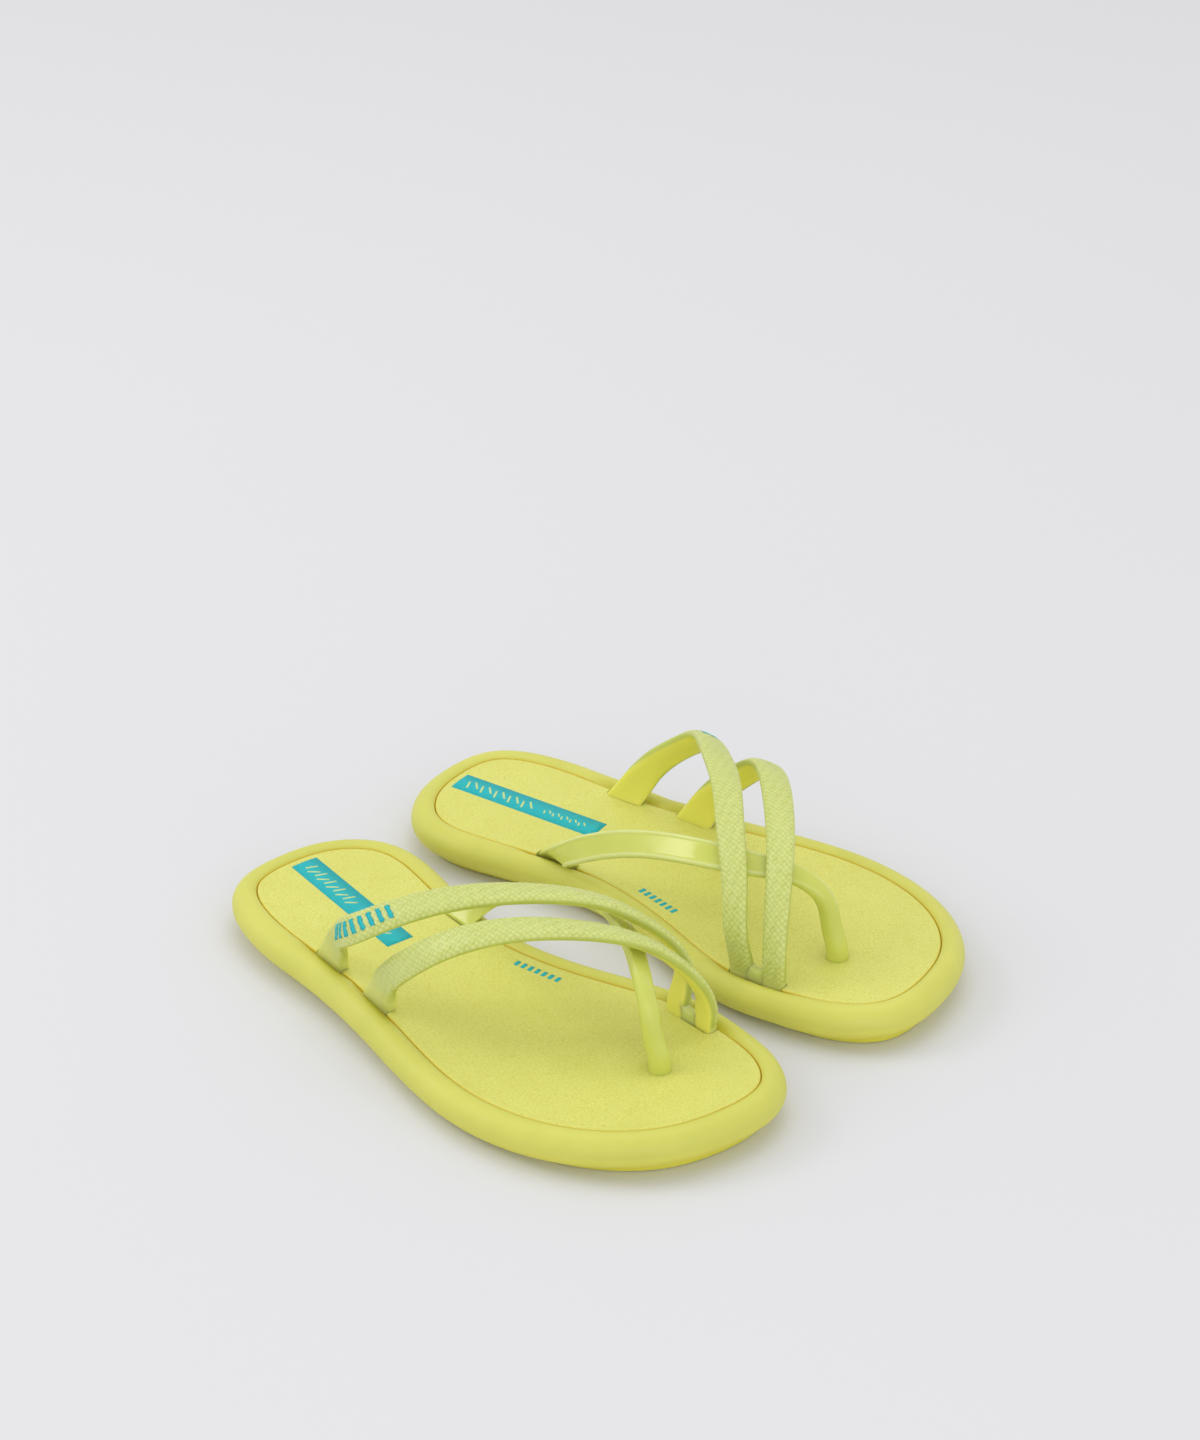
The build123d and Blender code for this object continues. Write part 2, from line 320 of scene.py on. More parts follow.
def slot_prism(verts, faces, x, y, length, width, low, high, outer=0.0):
    """Adds an upright prism with round ends; outer widens it towards the seam."""
    radius = min(length, width) / 2
    reach = abs(length - width) / 2
    ring = []
    for k in range(PRISM_SIDES):
        a = 2 * math.pi * k / PRISM_SIDES
        px, py = radius * math.cos(a), radius * math.sin(a)
        if length >= width:
            px += reach if math.cos(a) > 0 else -reach
        else:
            py += reach if math.sin(a) > 0 else -reach
        if outer * py > 0:
            py += outer
        ring.append((x + px, y + py))
    first = len(verts)
    for z in (low, high):
        verts += [(px, py, z) for px, py in ring]
    faces += band_faces(2, PRISM_SIDES, first)


# ---- sole: cushion with a rounded rim ----
def near_slot():
    """How near each seam station is to a strap end, from 0 to 1."""
    share = np.zeros(SEAM_STATIONS)
    for x, y, length, _ in SLOTS:
        along = np.maximum(np.hypot(seam[:, 0] - x, seam[:, 1] - y) - length / 2, 0)
        share = np.maximum(share, np.exp(-(along / 7.0) ** 2))
    return share


def rim_profile():
    """Rim section as (offset from the seam, height over the seam), from the recess outwards."""
    inner = [(0.0, -RECESS_DEPTH), (0.02, -1.0), (0.05, -0.45), (0.14, -0.1), (0.36, 0.22), (0.9, 0.62),
             (1.8, 1.05), (2.8, 1.28), (3.9, 1.24), (5.1, 0.92), (6.2, 0.41)]
    ellipse = [
        (0.3 + 9.5 * math.cos(math.radians(a)), -5.65 + 7.75 * math.sin(math.radians(a)))
        for a in (45, 38, 30, 21, 12, 3, -7, -17, -27, -37, -47, -57, -67, -77)
    ]
    return inner + ellipse


def make_sole():
    """Body with its recess and grooved tread; the rim dips beside each strap, then swells."""
    wide = np.where(inner_side, profile_at(INNER_RIM, seam[:, 0]), profile_at(OUTER_RIM, seam[:, 0]))
    for _ in range(12):
        wide = (np.roll(wide, 1) + 2 * wide + np.roll(wide, -1)) / 4
    bulge = near_slot()
    top = seam_z(seam[:, 0])
    rings, edge, painted_bounce_light, strap_shade = [], [], [], []
    for offset, height in rim_profile():
        scale = np.where(offset > 0, wide / NOMINAL_RIM, 1)
        lift = bulge * (0.6 * math.exp(-((offset - 5.5) / 2.5) ** 2)
                        - 0.9 * math.exp(-((offset - 0.8) / 1.6) ** 2))
        out = seam_out * (offset * scale)[:, None]
        rings.append(np.column_stack([seam + out, top + height + lift]))
        edge.append(np.full(SEAM_STATIONS, math.exp(-(max(offset, 0) / 0.3) ** 2)))
        # Painted bounce light: points low on the rim get a brighter, more yellow colour that stands in for
        # light from the floor.
        painted_bounce_light.append(np.full(SEAM_STATIONS, min(max((-height - 5.0) / 7.0, 0), 1)))
        # Painted shade: the rim is darkened near each strap end, most at the seam.
        strap_shade.append(bulge * math.exp(-(max(offset, 0) / 3.2) ** 2))
    bottom = rings[-1][:, 2]
    for offset, z in ((2.0, np.minimum(bottom, 1.0)), (1.7, 0.25), (1.1, 0.0)):
        rings.append(np.column_stack([seam + seam_out * offset, np.broadcast_to(z, bottom.shape)]))
        edge.append(np.zeros(SEAM_STATIONS))
        painted_bounce_light.append(np.ones(SEAM_STATIONS))
    for share in (0.15, 0.4, 0.7, 0.96):
        at = seam + (spine - seam) * share
        rings.append(np.column_stack([at, np.zeros(SEAM_STATIONS)]))
        edge.append(np.zeros(SEAM_STATIONS))
        painted_bounce_light.append(np.ones(SEAM_STATIONS))
    for share in (0.4, 0.96):
        at = seam + (spine - seam) * share
        rings.insert(0, np.column_stack([at, seam_z(at[:, 0]) - RECESS_DEPTH]))
        edge.insert(0, np.zeros(SEAM_STATIONS))
        painted_bounce_light.insert(0, np.zeros(SEAM_STATIONS))
    plain = np.zeros(SEAM_STATIONS)
    strap_shade = [plain] * 2 + strap_shade + [plain] * (len(rings) - len(strap_shade) - 2)
    obj = make_piece("sole_body", np.vstack(rings), ring_faces(len(rings), SEAM_STATIONS),
                     {"seam_edge": np.concatenate(edge), "painted_bounce_light": np.concatenate(painted_bounce_light),
                      "painted_shade_by_strap": np.concatenate(strap_shade)})
    close_up(obj, SEAM_STATIONS)
    groove_verts, groove_faces = [], []
    for row in range(-TREAD_ROWS, TREAD_ROWS + 1):
        x = row * TREAD_PITCH
        length, width, depth = GROOVE
        slot_prism(groove_verts, groove_faces, x, 4.0 * (x / SEAM_HALF_LENGTH - 0.3),
                   length, width, -1.0, depth)
    cutter = make_piece("grooves", groove_verts, groove_faces)
    close_up(cutter)
    cut_with(obj, cutter)
    return obj


# ---- footbed: panel with a rolled edge, a dimple round the toe post and slots ----
def footbed_height(at):
    """Height of the footbed over the floor at points (x, y)."""
    away = np.hypot(at[:, 0] - POST_HOLE[0], at[:, 1] - POST_HOLE[1])
    return seam_z(at[:, 0]) - DIMPLE_DEPTH * np.exp(-(away / DIMPLE_REACH) ** 2)


def make_footbed():
    rings, edge = [], []
    for offset, height in ((-0.2, -RECESS_DEPTH), (-0.2, -0.9), (-0.24, -0.4), (-0.4, -0.06), (-0.8, 0.18),
                           (-1.6, 0.27), (-2.5, 0.17), (-3.4, 0.0)):
        at = seam + seam_out * offset
        rings.append(np.column_stack([at, seam_z(at[:, 0]) + height]))
        edge.append(np.full(SEAM_STATIONS, math.exp(-((offset + 0.2) / 0.25) ** 2)))
    inner = seam - seam_out * 3.4
    for share in np.linspace(0, 1, 34)[1:] * 0.985:
        at = inner + (spine - inner) * share
        rings.append(np.column_stack([at, footbed_height(at)]))
        edge.append(np.zeros(SEAM_STATIONS))
    for share in (0.985, 0.5):
        at = inner + (spine - inner) * share
        rings.insert(0, np.column_stack([at, seam_z(at[:, 0]) - RECESS_DEPTH]))
        edge.insert(0, np.zeros(SEAM_STATIONS))
    obj = make_piece("footbed_panel", np.vstack(rings), ring_faces(len(rings), SEAM_STATIONS),
                     {"seam_edge": np.concatenate(edge)})
    close_up(obj, SEAM_STATIONS)
    slot_verts, slot_faces = [], []
    for x, y, length, width in SLOTS:
        slot_prism(slot_verts, slot_faces, x, y, length + SLOT_GAP, width + SLOT_GAP,
                   *CUT_HEIGHTS, outer=math.copysign(SLOT_TO_SEAM, y))
    x, y, diameter = POST_HOLE
    slot_prism(slot_verts, slot_faces, x, y, diameter + HOLE_GAP, diameter + HOLE_GAP, *CUT_HEIGHTS)
    cutter = make_piece("slots", slot_verts, slot_faces)
    close_up(cutter)
    cut_with(obj, cutter)
    return obj


# ---- straps ----
def strap_line(path, bend_start, step, reach):
    """Middle line of a strap with its along, outward and across directions, from slot to slot.

    It leaves its rear slot at a slant. The section there lies level on the footbed and has
    turned square to the strap once it is about `reach` millimetres away. From x = bend_start
    on, its outward side swings round to the toe."""
    points = np.array([(p[0], p[1], p[2] if len(p) == 3 else seam_z(p[0])) for p in path])
    slant = (points[1] - points[0]) / np.linalg.norm(points[1] - points[0])
    dense = smooth_curve(points, False, ends=(slant, (0, 0, -1)))
    length = np.linalg.norm(np.diff(dense, axis=0), axis=1).sum()
    count = int(length / step)
    line = evenly(dense, count)
    along = np.gradient(line, axis=0)
    along[0], along[-1] = slant, (0, 0, -1)
    along /= np.linalg.norm(along, axis=1)[:, None]
    past = np.maximum(line[:, 0] - bend_start, 0)
    outward = np.column_stack([
        past, line[:, 1] - past * line[:, 1] / 30, np.maximum(line[:, 2] - SEAM_HEIGHT, 0)])
    outward -= along * (outward * along).sum(1)[:, None]
    outward /= np.linalg.norm(outward, axis=1)[:, None]
    across = np.cross(along, outward)
    level = np.exp(-(np.linspace(0, length, count) / reach) ** 2)[:, None]
    flat = across * (1, 1, 0)
    flat /= np.linalg.norm(flat, axis=1)[:, None]
    across = across * (1 - level) + flat * level
    return line, along, outward, across, length


def band_mesh(line, outward, across, half_width, half_thick, power, shape):
    """Rings of a rounded section along a strap, and where their points lie in the section.

    x runs across and y outwards, each from -1 to 1; shape(x, y) moves points outwards."""
    t = np.linspace(0, 2 * math.pi, STRAP_SIDES, endpoint=False)
    c, s = np.cos(t)[None], np.sin(t)[None]
    p = power[:, None]
    x = np.sign(c) * np.abs(c) ** (2 / p)
    y = np.sign(s) * np.abs(s) ** (2 / p)
    lift = shape(x, y)
    px = x * half_width[:, None]
    py = y * half_thick[:, None] + lift
    return line[:, None] + px[..., None] * across[:, None] + py[..., None] * outward[:, None], x, y


def into_slots(rows):
    """The rows of a strap, with its first and last row repeated lower down, in the slots."""
    down = np.array([0, 0, SHANK])
    return np.concatenate([rows[:1] - down, rows, rows[-1:] - down])


def with_ends(rows):
    """Values that go with the points of into_slots, in one list."""
    return np.concatenate([rows[:1], rows, rows[-1:]]).ravel()


def loop_rows(path):
    """Points of one textured loop, its number of rows and the values its colours need."""
    line, _, outward, across, length = strap_line(path, NO_BEND, LOOP_STEP, LOOP_REACH)
    share = np.linspace(0, 1, len(line))
    distance = share * length
    half_width = profile_at(LOOP_WIDTH, share) / 2
    half_thick = np.full(len(line), LOOP_THICKNESS / 2)
    textured = smoothstep(5, 18, distance) * smoothstep(0.5, 3, length - distance)
    power = (LOOP_SECTION + 3.5 * (1 - smoothstep(3, 24, distance))
             + 1.5 * smoothstep(16, 4, length - distance))

    def scales(x, y):
        """Height of the moulded scales: uneven rhombic cells on the outer face."""
        along_strap = distance[:, None]
        across_strap = x * half_width[:, None]
        wander = 0.16 * np.sin(1.9 * along_strap + 1.3 * across_strap)
        wander = wander + 0.13 * np.sin(0.83 * along_strap - 1.9 * across_strap + 1.0)
        sideways = across_strap / SCALE_WIDTH + wander
        lengthways = along_strap / SCALE_LENGTH + 0.6 * wander
        first = np.abs(np.sin(math.pi * (lengthways + sideways * 0.5)))
        second = np.abs(np.sin(math.pi * (lengthways - sideways * 0.5)))
        cell = np.sqrt(first * second)
        return SCALE_HEIGHT * (cell - SCALE_MEAN) * on_face(y)

    def on_face(y):
        return smoothstep(0.02, 0.35, y) * textured[:, None]

    points, x, y = band_mesh(line, outward, across, half_width, half_thick, power, scales)
    points = into_slots(points)
    height = scales(x, y)
    every = np.ones_like(height)
    values = {
        # cell follows the scale height; the loop material uses it to paint shade into the valleys.
        "cell": with_ends(np.clip(height / SCALE_HEIGHT + SCALE_MEAN * on_face(y), 0, 1)),
        "outer": with_ends(smoothstep(-0.85, -0.45, y) * every),
        "textured": with_ends(textured[:, None] * every),
    }
    return points.reshape(-1, 3), len(points), values


def web_rows():
    """Low wall that joins the front ends of the two loops, its top dipping between them."""
    along = np.linspace(-WEB_HALF_LENGTH, WEB_HALF_LENGTH, WEB_ROWS)[:, None]
    x = WEB_CENTRE[0] + along
    t = np.linspace(0, 2 * math.pi, STRAP_SIDES, endpoint=False)
    c, s = np.cos(t)[None], np.sin(t)[None]
    top = WEB_TOP + WEB_RISE * (along / WEB_HALF_LENGTH) ** 2
    y = WEB_CENTRE[1] + along * WEB_SLOPE + WEB_HALF_THICKNESS * np.sign(c) * np.abs(c) ** 0.35
    z = (seam_z(x) + (top - SHANK) / 2
         + np.sign(s) * np.abs(s) ** 0.5 * (top + SHANK) / 2)
    points = np.stack([x * np.ones_like(c), y, z], -1).reshape(-1, 3)
    every = np.ones(len(points))
    return points, WEB_ROWS, {"cell": every * 0.5, "outer": every, "textured": every * 0.8}


def make_twin_strap():
    verts, faces = [], []
    values = {"cell": [], "outer": [], "textured": []}
    count = 0
    for points, rows, numbers in (loop_rows(REAR_LOOP), loop_rows(FRONT_LOOP), web_rows()):
        verts.append(points)
        faces += band_faces(rows, STRAP_SIDES, count)
        count += len(points)
        for key in values:
            values[key].append(numbers[key])
    values = {key: np.concatenate(v) for key, v in values.items()}
    obj = make_piece("twin_loops", np.vstack(verts), faces, values)
    obj.data.set_sharp_from_angle(angle=math.radians(60))
    return obj


def make_toe_strap():
    line, _, outward, across, _ = strap_line(TOE_STRAP, TOE_BEND_START, TOE_STEP, TOE_REACH)
    share = np.linspace(0, 1, len(line))
    half_width = profile_at(TOE_WIDTH, share) / 2
    half_thick = profile_at(TOE_THICKNESS, share) / 2
    for _ in range(30):
        half_width[1:-1] = (half_width[:-2] + 2 * half_width[1:-1] + half_width[2:]) / 4
        half_thick[1:-1] = (half_thick[:-2] + 2 * half_thick[1:-1] + half_thick[2:]) / 4
    flat = 1 - smoothstep(0.66, 0.84, share)
    power = 2 + 2.6 * flat

    def dished(x, y):
        """Outer face sunk between two raised edges."""
        sunk = 1 - smoothstep(0.62, 0.86, np.abs(x))
        return -DISH_DEPTH * sunk * smoothstep(0.2, 0.9, y) * flat[:, None]

    points, x, y = band_mesh(line, outward, across, half_width, half_thick, power, dished)
    points = into_slots(points)
    # Painted highlight: the raised edges of the flat outer face are painted paler.
    edge_highlight = smoothstep(0.6, 0.82, np.abs(x)) * flat[:, None] * smoothstep(-0.3, 0.4, y)
    obj = make_piece("toe_band", points.reshape(-1, 3), band_faces(len(points), STRAP_SIDES),
                     {"edge_highlight": with_ends(edge_highlight)})
    obj.data.set_sharp_from_angle(angle=math.radians(70))
    return obj


# ---- prints ----
def draped(name, outlines, lift, thick, cells):
    """Thin plates lying on the footbed; outlines are quads of (x, y) corners.

    Their tops are `lift` over the footbed and each is drawn with `cells` cells along."""
    verts, faces = [], []
    for corners in outlines:
        c = np.array(corners, float)
        first = len(verts)
        u = np.linspace(0, 1, cells + 1)
        low = c[0] + (c[1] - c[0]) * u[:, None]
        high = c[3] + (c[2] - c[3]) * u[:, None]
        for ring, z in ((low, lift), (high, lift), (high, lift - thick), (low, lift - thick)):
            verts += np.column_stack([ring, footbed_height(ring) + z]).tolist()
        n = cells + 1
        for a, b in ((0, 1), (1, 2), (2, 3), (3, 0)):
            for k in range(cells):
                faces.append([first + a * n + k, first + a * n + k + 1,
                              first + b * n + k + 1, first + b * n + k])
        for k in (0, cells):
            cap = [first + ring * n + k for ring in range(4)]
            faces.append(cap if k == 0 else cap[::-1])
    return make_piece(name, verts, faces)


def turned_box(centre, length, width, turn):
    """Corners of a rectangle on the footbed."""
    a = math.radians(turn)
    c, s = math.cos(a), math.sin(a)
    return [
        (centre[0] + x * c - y * s, centre[1] + x * s + y * c)
        for x, y in ((-length / 2, -width / 2), (length / 2, -width / 2),
                     (length / 2, width / 2), (-length / 2, width / 2))
    ]


def make_label():
    return draped("label_print", [turned_box(LABEL_CENTRE, *LABEL, LABEL_TURN)],
                  PRINT_LIFT, PRINT_DEPTH, 24)


def make_label_ink():
    """Pale slanted strokes printed over the label, tall ones towards the heel, then small."""
    a = math.radians(LABEL_TURN)
    strokes = []
    for start, pitch, count, width, height in (INK_TALL, INK_SMALL):
        for k in range(count):
            along = start + pitch * k
            sway = 0.6 * (-1) ** k
            centre = (LABEL_CENTRE[0] + along * math.cos(a) - sway * math.sin(a),
                      LABEL_CENTRE[1] + along * math.sin(a) + sway * math.cos(a))
            strokes.append(turned_box(centre, width, height, LABEL_TURN - 18 - 20 * (k % 2)))
    obj = draped("label_ink", strokes, INK_LIFT, INK_LIFT, 2)
    ink = np.ones(len(obj.data.vertices), np.float32)
    obj.data.attributes.new("ink", "FLOAT", "POINT").data.foreach_set("value", ink)
    return obj


def make_mark():
    """A row of short bars on the footbed."""
    a = math.radians(MARK_TURN)
    bars = []
    for k in range(MARK_BARS):
        along = (k - (MARK_BARS - 1) / 2) * MARK_PITCH
        centre = (MARK_CENTRE[0] + along * math.cos(a), MARK_CENTRE[1] + along * math.sin(a))
        bars.append(turned_box(centre, *MARK_BAR, MARK_TURN))
    return draped("mark_print", bars, PRINT_LIFT, PRINT_DEPTH, 2)


def make_strap_motif():
    """A row of slanted bars printed on the outer face of the rear loop, near its rear foot."""
    line, _, outward, across, length = strap_line(REAR_LOOP, NO_BEND, MOTIF_STEP, LOOP_REACH)
    share = np.linspace(0, 1, len(line))
    half_width = profile_at(LOOP_WIDTH, share) / 2
    distance = share * length
    verts, faces = [], []
    for k in range(MOTIF_BARS):
        start = MOTIF_START + MOTIF_PITCH * k
        first = len(verts)
        rows = 9
        for j in range(rows):
            v = -0.5 + j / (rows - 1)
            for shift in (0.0, MOTIF_BAR):
                at = int(np.searchsorted(distance, start + shift + MOTIF_SLANT * v))
                y = (1 - abs(v) ** LOOP_SECTION) ** (1 / LOOP_SECTION)
                top = (line[at] + across[at] * v * half_width[at]
                       + outward[at] * (y * LOOP_THICKNESS / 2 + MOTIF_LIFT))
                verts.append(top)
                verts.append(top - outward[at] * MOTIF_DEPTH)
        for j in range(rows - 1):
            a = first + 4 * j
            faces += [[a, a + 2, a + 6, a + 4], [a + 1, a + 5, a + 7, a + 3],
                      [a, a + 4, a + 5, a + 1], [a + 2, a + 3, a + 7, a + 6]]
        last = first + 4 * (rows - 1)
        faces += [[first, first + 1, first + 3, first + 2], [last, last + 2, last + 3, last + 1]]
    return make_piece("strap_print", np.array(verts), faces)


# ---- materials ----
def srgb(r, g, b):
    """A colour given as it appears, as the linear one that the shaders work with."""
    return tuple((v / 255 / 12.92) if v <= 10 else ((v / 255 + 0.055) / 1.055) ** 2.4
                 for v in (r, g, b)) + (1.0,)


class Shade:
    """Short names for building one material's nodes."""

    def __init__(self, name):
        self.material = bpy.data.materials.new(name)
        self.material.use_nodes = True
        self.tree = self.material.node_tree
        self.shader = self.tree.nodes["Principled BSDF"]
        self.place = self.add("ShaderNodeTexCoord").outputs["Object"]

    def add(self, kind, **settings):
        node = self.tree.nodes.new(kind)
        for key, value in settings.items():
            setattr(node, key, value)
        return node

    def link(self, a, b):
        self.tree.links.new(a, b)

    def noise(self, scale, detail=3.0, rough=0.55):
        node = self.add("ShaderNodeTexNoise")
        node.inputs["Scale"].default_value = scale
        node.inputs["Detail"].default_value = detail
        node.inputs["Roughness"].default_value = rough
        self.link(self.place, node.inputs["Vector"])
        return node.outputs["Fac"]

    def creases(self, scale):
        node = self.add("ShaderNodeTexVoronoi", feature="DISTANCE_TO_EDGE")
        node.inputs["Scale"].default_value = scale
        self.link(self.place, node.inputs["Vector"])
        return node.outputs["Distance"]

    def value(self, name):
        return self.add("ShaderNodeAttribute", attribute_name=name).outputs["Fac"]

    def times(self, a, b):
        node = self.add("ShaderNodeMath", operation="MULTIPLY")
        self.link(a, node.inputs[0])
        self.link(b, node.inputs[1])
        return node.outputs[0]

    def range(self, value, low, high, to_low=0.0, to_high=1.0):
        node = self.add("ShaderNodeMapRange")
        limits = {"From Min": low, "From Max": high, "To Min": to_low, "To Max": to_high}
        for key, limit in limits.items():
            node.inputs[key].default_value = limit
        self.link(value, node.inputs["Value"])
        return node.outputs["Result"]

    def mix(self, share, a, b):
        node = self.add("ShaderNodeMix", data_type="RGBA")
        sockets = [s for s in node.inputs if s.type == "RGBA"]
        for socket, v in zip(sockets, (a, b)):
            if isinstance(v, tuple):
                socket.default_value = v
            else:
                self.link(v, socket)
        self.link(share, node.inputs["Factor"])
        return [s for s in node.outputs if s.type == "RGBA"][0]

    def bump(self, height, distance, strength, below=None):
        node = self.add("ShaderNodeBump")
        node.inputs["Strength"].default_value = strength
        node.inputs["Distance"].default_value = distance
        self.link(height, node.inputs["Height"])
        if below is not None:
            self.link(below, node.inputs["Normal"])
        return node.outputs["Normal"]

    def set(self, **values):
        for key, value in values.items():
            self.shader.inputs[key.replace("_", " ")].default_value = value

    def finish(self, colour, roughness, normal):
        self.link(colour, self.shader.inputs["Base Color"])
        self.link(roughness, self.shader.inputs["Roughness"])
        self.link(normal, self.shader.inputs["Normal"])
        return self.material


def soft_plastic(shade, weight, depth):
    """Light that enters the soft PVC and comes out a few millimetres away."""
    shade.shader.inputs["Subsurface Weight"].default_value = weight
    shade.shader.inputs["Subsurface Radius"].default_value = (1.0, 0.9, 0.25)
    shade.shader.inputs["Subsurface Scale"].default_value = depth


def sole_material():
    s = Shade("sole_pvc")
    blotch = s.noise(38, 2.0)
    fine = s.noise(1400, 3.0)
    scuff = s.noise(260, 4.0, 0.7)
    body = s.mix(s.range(blotch, 0.35, 0.7), srgb(209, 208, 97), srgb(202, 202, 90))
    # Painted bounce light: the rim's lower side is painted brighter and more yellow.
    below = s.mix(s.value("painted_bounce_light"), body, srgb(228, 221, 82))
    # Painted shade: a darker olive on the rim beside each strap end.
    shaded = s.mix(s.value("painted_shade_by_strap"), below, srgb(190, 184, 40))
    colour = s.mix(s.value("seam_edge"), shaded, srgb(222, 198, 62))
    soft_plastic(s, 0.35, 0.004)
    s.set(Specular_IOR_Level=0.45)
    rough = s.range(scuff, 0.3, 0.75, 0.42, 0.6)
    normal = s.bump(fine, 0.00012, 0.5, s.bump(scuff, 0.0002, 0.25))
    return s.finish(colour, rough, normal)


def footbed_material():
    s = Shade("footbed_grain")
    blotch = s.noise(45, 3.0)
    creases = s.creases(640)
    pebbles = s.noise(900, 4.0, 0.6)
    wander = s.noise(160, 3.0)
    grain = s.times(s.range(creases, 0.0, 0.28), s.range(wander, 0.3, 0.6, 0.45, 1.0))
    body = s.mix(s.range(blotch, 0.3, 0.7), srgb(219, 219, 117), srgb(213, 213, 109))
    lined = s.mix(s.range(grain, 0.0, 0.4), srgb(208, 206, 94), body)
    colour = s.mix(s.value("seam_edge"), lined, srgb(222, 198, 62))
    soft_plastic(s, 0.15, 0.003)
    s.set(Specular_IOR_Level=0.4)
    rough = s.range(pebbles, 0.3, 0.7, 0.46, 0.62)
    normal = s.bump(grain, 0.00008, 0.35, s.bump(pebbles, 0.0001, 0.25))
    return s.finish(colour, rough, normal)


def loop_material():
    s = Shade("loop_scales")
    fine = s.noise(1700, 3.0)
    blotch = s.noise(120, 2.0)
    inner = srgb(229, 226, 104)
    # Painted shade: the valleys between the scales are darker than the smooth strap; the ridges keep its
    # pale colour.
    valley_shade = s.mix(s.range(blotch, 0.3, 0.7), srgb(178, 188, 84), srgb(185, 194, 92))
    ridge = s.mix(s.value("cell"), valley_shade, srgb(208, 215, 134))
    plain = s.mix(s.value("textured"), srgb(212, 216, 130), ridge)
    colour = s.mix(s.value("outer"), inner, plain)
    soft_plastic(s, 0.35, 0.004)
    s.set(Specular_IOR_Level=0.5)
    rough = s.range(fine, 0.3, 0.7, 0.3, 0.42)
    return s.finish(colour, rough, s.bump(fine, 0.0001, 0.3))


def toe_material():
    s = Shade("toe_band_gloss")
    fine = s.noise(900, 2.0)
    blotch = s.noise(90, 2.0)
    body = s.mix(s.range(blotch, 0.3, 0.7), srgb(199, 206, 96), srgb(205, 211, 103))
    # Painted highlight: paler colour on the raised edges of the strap's flat part.
    colour = s.mix(s.value("edge_highlight"), body, srgb(206, 213, 134))
    soft_plastic(s, 0.45, 0.005)
    s.set(Specular_IOR_Level=0.4, Coat_Weight=0.12, Coat_Roughness=0.1)
    rough = s.range(fine, 0.3, 0.7, 0.12, 0.2)
    return s.finish(colour, rough, s.bump(fine, 0.00005, 0.15))


def print_material():
    s = Shade("teal_print")
    grain = s.noise(1300, 4.0, 0.7)
    speck = s.noise(420, 3.0)
    body = s.mix(s.range(grain, 0.35, 0.7), srgb(16, 170, 176), srgb(30, 187, 190))
    colour = s.mix(s.range(speck, 0.68, 0.78), body, srgb(120, 205, 170))
    colour = s.mix(s.value("ink"), colour, srgb(196, 222, 150))
    s.set(Specular_IOR_Level=0.35)
    rough = s.range(grain, 0.3, 0.7, 0.5, 0.65)
    return s.finish(colour, rough, s.bump(grain, 0.0002, 0.5))


def floor_material():
    s = Shade("pale_floor")
    wide = s.noise(1.4, 2.0)
    colour = s.mix(wide, srgb(217, 217, 219), srgb(219, 219, 221))
    rough = s.range(wide, 0.0, 1.0, 0.8, 0.85)
    s.set(Specular_IOR_Level=0.1)
    return s.finish(colour, rough, s.bump(wide, 0.0001, 0.05))


MATERIALS = {
    "sole": sole_material(), "footbed": footbed_material(), "textured_strap": loop_material(),
    "glossy_strap": toe_material(), "print": print_material(),
}
PIECES = (
    (make_sole, "sole", ["sole"]),
    (make_footbed, "footbed", ["footbed"]),
    (make_twin_strap, "textured_strap", ["twin_strap"]),
    (make_toe_strap, "glossy_strap", ["toe_strap"]),
    (make_label, "print", ["heel_label"]),
    (make_label_ink, "print", []),
    (make_mark, "print", ["footbed_mark"]),
    (make_strap_motif, "print", []),
)
for make, slot, nodes in PIECES:
    model = make()
    model.data.materials.append(MATERIALS[slot])
    for side in ("right", "left"):
        piece = set_down(model, side)
        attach(piece, f"{side}_sandal")
        if nodes:
            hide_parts(*[f"{side}_{node}" for node in nodes])
    bpy.data.objects.remove(model)


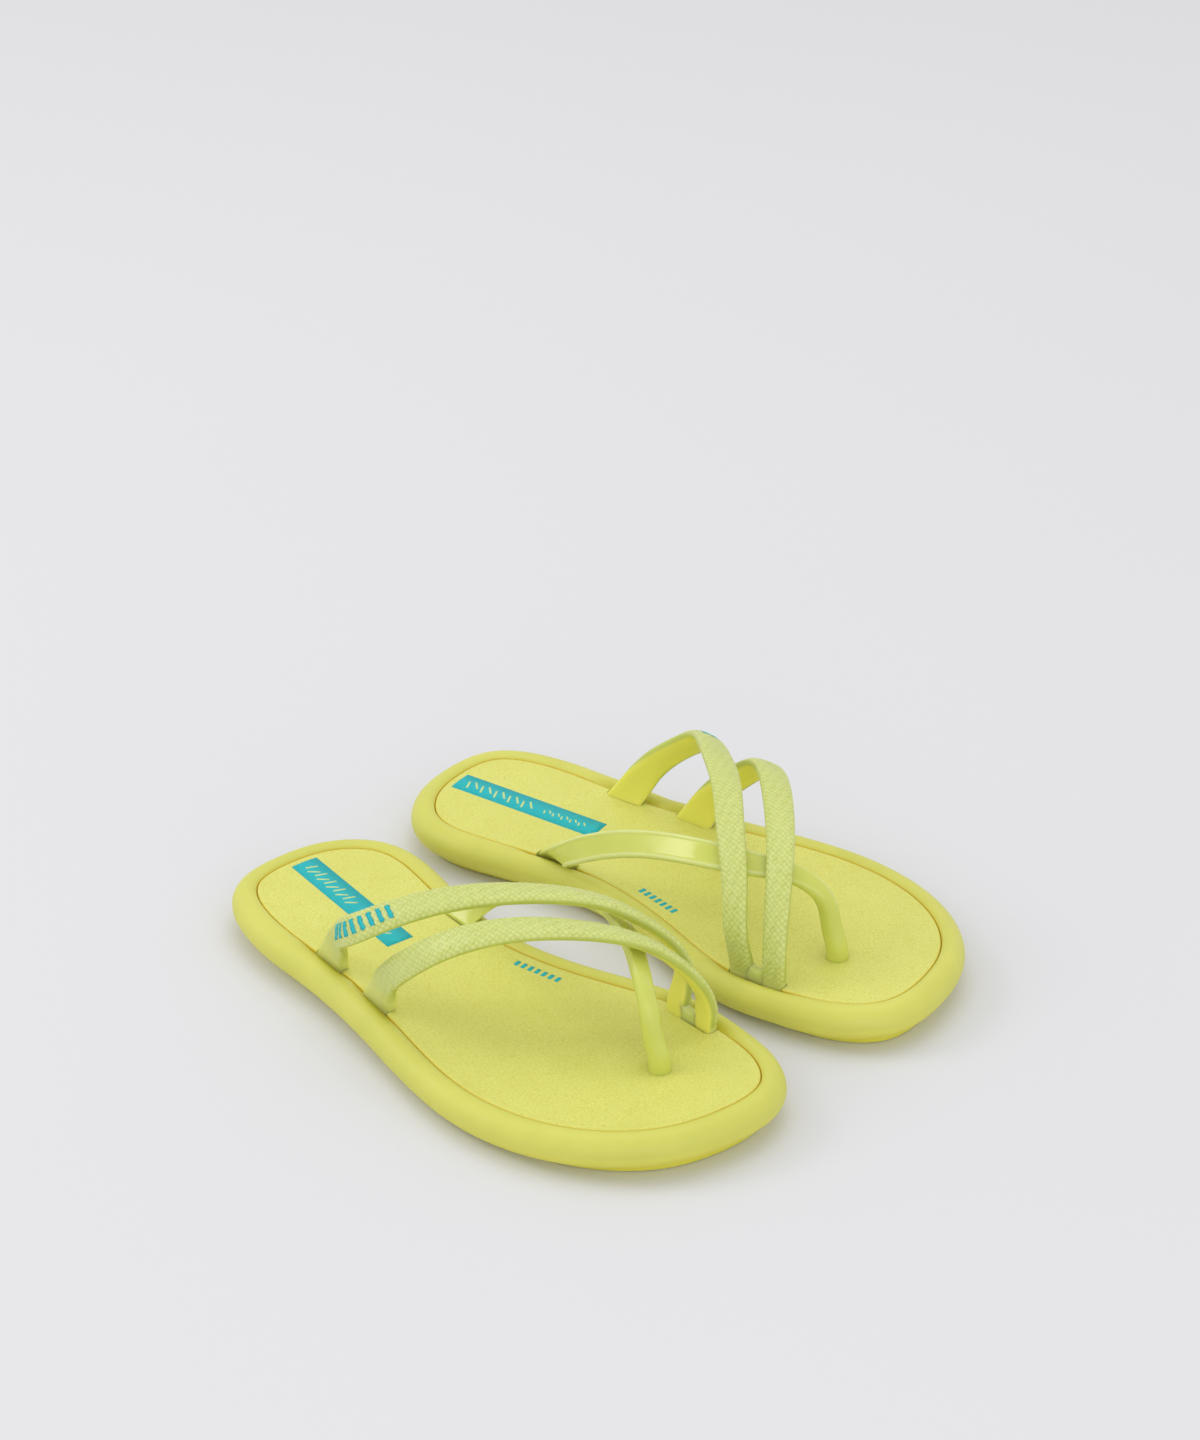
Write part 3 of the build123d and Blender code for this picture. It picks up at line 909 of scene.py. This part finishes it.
# ---- floor, light and camera ----
FLOOR_CELLS = 24
FLOOR_HALF_WIDTH = 6.0       # m
FLOOR_Z = -0.0002            # just clear of the soles, m
LIGHT_TARGET = (0, 0, 0.03)


def make_floor():
    """Flat pale floor under the sandals."""
    at = np.linspace(-FLOOR_HALF_WIDTH, FLOOR_HALF_WIDTH, FLOOR_CELLS + 1)
    verts = [(x, y, FLOOR_Z) for y in at for x in at]
    faces = []
    for row in range(FLOOR_CELLS):
        for column in range(FLOOR_CELLS):
            a = row * (FLOOR_CELLS + 1) + column
            b = a + FLOOR_CELLS + 1
            faces.append([a, a + 1, b + 1, b])
    mesh = bpy.data.meshes.new("floor")
    mesh.from_pydata(verts, [], faces)
    obj = bpy.data.objects.new("floor", mesh)
    bpy.context.scene.collection.objects.link(obj)
    mesh.materials.append(floor_material())


def add_light(name, location, size, power):
    """Soft light of size metres, aimed at the middle of the sandals."""
    data = bpy.data.lights.new(name, "AREA")
    data.shape = "RECTANGLE"
    data.size, data.size_y = size
    data.energy = power
    obj = bpy.data.objects.new(name, data)
    obj.location = location
    aim = Vector(LIGHT_TARGET) - Vector(location)
    obj.rotation_euler = aim.to_track_quat("-Z", "Y").to_euler()
    bpy.context.scene.collection.objects.link(obj)


make_floor()
add_light("overhead_softbox", (-0.3, 0.5, 2.4), (1.8, 1.8), 11)
add_light("side_softbox", (-1.6, -1.1, 1.5), (0.9, 0.9), 10)
add_light("front_softbox", (1.4, -0.9, 0.65), (1.6, 1.0), 5.5)

world = bpy.data.worlds.new("studio")
world.use_nodes = True
world.node_tree.nodes["Background"].inputs["Color"].default_value = (0.985, 0.985, 1.0, 1)
world.node_tree.nodes["Background"].inputs["Strength"].default_value = 0.84
bpy.context.scene.world = world
bpy.context.scene.view_settings.view_transform = "Standard"

camera_data = bpy.data.cameras.new("camera")
camera_data.sensor_width = 36
camera_data.lens = 86.05
camera = bpy.data.objects.new("camera", camera_data)
camera.location = (0.7735, -0.8308, 0.7447)
camera.rotation_euler = (math.radians(60.75), 0, math.radians(42.785))
bpy.context.scene.collection.objects.link(camera)
bpy.context.scene.camera = camera
